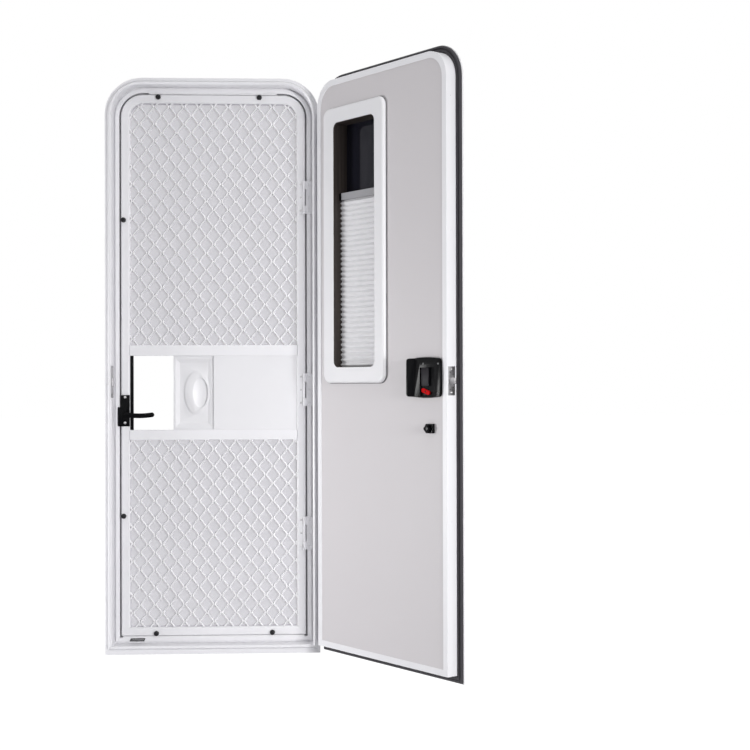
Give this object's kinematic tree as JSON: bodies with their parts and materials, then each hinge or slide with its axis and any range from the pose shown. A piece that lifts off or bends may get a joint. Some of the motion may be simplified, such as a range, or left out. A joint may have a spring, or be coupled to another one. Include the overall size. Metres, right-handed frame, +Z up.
{
  "type": "caravan entry door",
  "caption": "Caravan entry door set: wall frame, hinged security screen door with diamond grille and hand hatch, and an insulated main door with window, blind and handle.",
  "frame": {"origin": "on the back of the frame's wall flange, at the middle of the sill's flange", "axes": "+X right seen from outside, +Y into the caravan, +Z up"},
  "size_m": [1.0607, 0.648, 1.792],
  "materials": {
    "white_frame": "white powder coat, satin",
    "white_grille": "white powder coat",
    "insect_mesh": "fine grey insect mesh",
    "door_panel": "pale warm grey, matt",
    "foam_core": "rigid insulation foam",
    "outer_skin": "white, gloss",
    "black_rubber": "matt black",
    "white_plastic": "white moulding",
    "black_plastic": "black moulding, satin",
    "rail_grey": "grey lacquer",
    "grey_plastic": "dark grey moulding",
    "red_plastic": "red moulding",
    "tinted_glazing": "dark tinted acrylic",
    "blind_fabric": "pale pleated blind",
    "latch_steel": "plated steel"
  },
  "bodies": {
    "frame": {"frame_left_jamb": "white_frame", "frame_right_jamb": "white_frame", "frame_head": "white_frame", "frame_sill": "white_frame", "sill_drain": "black_plastic", "screen_stop_seal": "black_rubber", "latch_strike": "latch_steel", "screen_hinge_frame_leaves": "white_frame", "main_hinge_frame_leaf": "white_frame"},
    "screen_door": {"screen_left_stile": "white_frame", "screen_right_stile": "white_frame", "screen_head_rail": "white_frame", "screen_bottom_rail": "white_frame", "screen_lower_mid_rail": "white_frame", "screen_upper_mid_rail": "white_frame", "upper_grille": "white_grille", "lower_grille": "white_grille", "upper_insect_mesh": "insect_mesh", "lower_insect_mesh": "insect_mesh", "rubber_buffers": "black_rubber", "hatch_fixed_panel": "white_plastic", "hatch_edge_channel": "black_plastic", "screen_latch_case": "black_plastic", "screen_hinge_door_leaves": "white_frame"},
    "hatch_slider": {"hatch_slider": "white_plastic"},
    "screen_latch_lever": {"screen_latch_lever": "black_plastic"},
    "main_door": {"core_below_window": "foam_core", "core_beside_window": "foam_core", "core_above_window": "foam_core", "door_inner_skin": "door_panel", "door_edge_frame": "white_frame", "door_outer_skin": "outer_skin", "door_seal": "black_rubber", "window_inner_trim": "white_plastic", "window_outer_frame": "black_plastic", "window_glass": "tinted_glazing", "blind_pleats": "blind_fabric", "blind_rail": "rail_grey", "blind_rail_caps": "black_plastic", "inner_handle_housing": "black_plastic", "latch_faceplate": "latch_steel", "deadbolt_base": "black_plastic", "outer_handle_plate": "black_plastic", "outer_handle_pull": "black_plastic", "key_cylinders": "latch_steel", "main_hinge_door_leaf": "white_frame"},
    "handle_paddle": {"inner_handle_paddle": "grey_plastic"},
    "lock_tab": {"lock_tab": "red_plastic"},
    "deadbolt_turn": {"deadbolt_turn": "black_plastic"},
    "latch_bolt": {"latch_bolt": "latch_steel"}
  },
  "joints": [
    {"name": "main_door_hinge", "type": "hinge", "parent": "frame", "child": "main_door", "pos_m": [0.336, -0.022, 0], "axis": [0, 0, 1], "range_deg": [-125.5, 44.5]},
    {"name": "screen_door_hinge", "type": "hinge", "parent": "frame", "child": "screen_door", "pos_m": [0.284, 0.0215, 0], "axis": [0, 0, 1], "range_deg": [0, 100]},
    {"name": "hatch_slide", "type": "slide", "parent": "screen_door", "child": "hatch_slider", "axis": [1, 0, 0], "range_m": [-0.128, 0.115]},
    {"name": "screen_latch_turn", "type": "hinge", "parent": "screen_door", "child": "screen_latch_lever", "pos_m": [-0.27, 0.03, 0.733], "axis": [0, -1, 0], "range_deg": [0, 30], "stiffness_Nm_per_rad": 0.6, "springref_deg": -11.46},
    {"name": "handle_paddle_turn", "type": "hinge", "parent": "main_door", "child": "handle_paddle", "pos_m": [0.61719, -0.48596, 0.8455], "axis": [0, 0, -1], "range_deg": [0, 25], "stiffness_Nm_per_rad": 0.3, "springref_deg": -5.73},
    {"name": "lock_tab_turn", "type": "hinge", "parent": "main_door", "child": "lock_tab", "pos_m": [0.6298, -0.49416, 0.8065], "axis": [-0.8141, -0.5807, 0], "range_deg": [0, 40]},
    {"name": "deadbolt_thumb_turn", "type": "hinge", "parent": "main_door", "child": "deadbolt_turn", "pos_m": [0.63909, -0.50718, 0.704], "axis": [-0.8141, -0.5807, 0], "range_deg": [0, 90]},
    {"name": "latch_bolt_slide", "type": "slide", "parent": "main_door", "child": "latch_bolt", "axis": [-0.5807, 0.8141, 0], "range_m": [0, 0.0121]}
  ],
  "couplings": [
    {"joint": "latch_bolt_slide", "follows": "handle_paddle_turn", "m_per_rad": 0.027502}
  ]
}
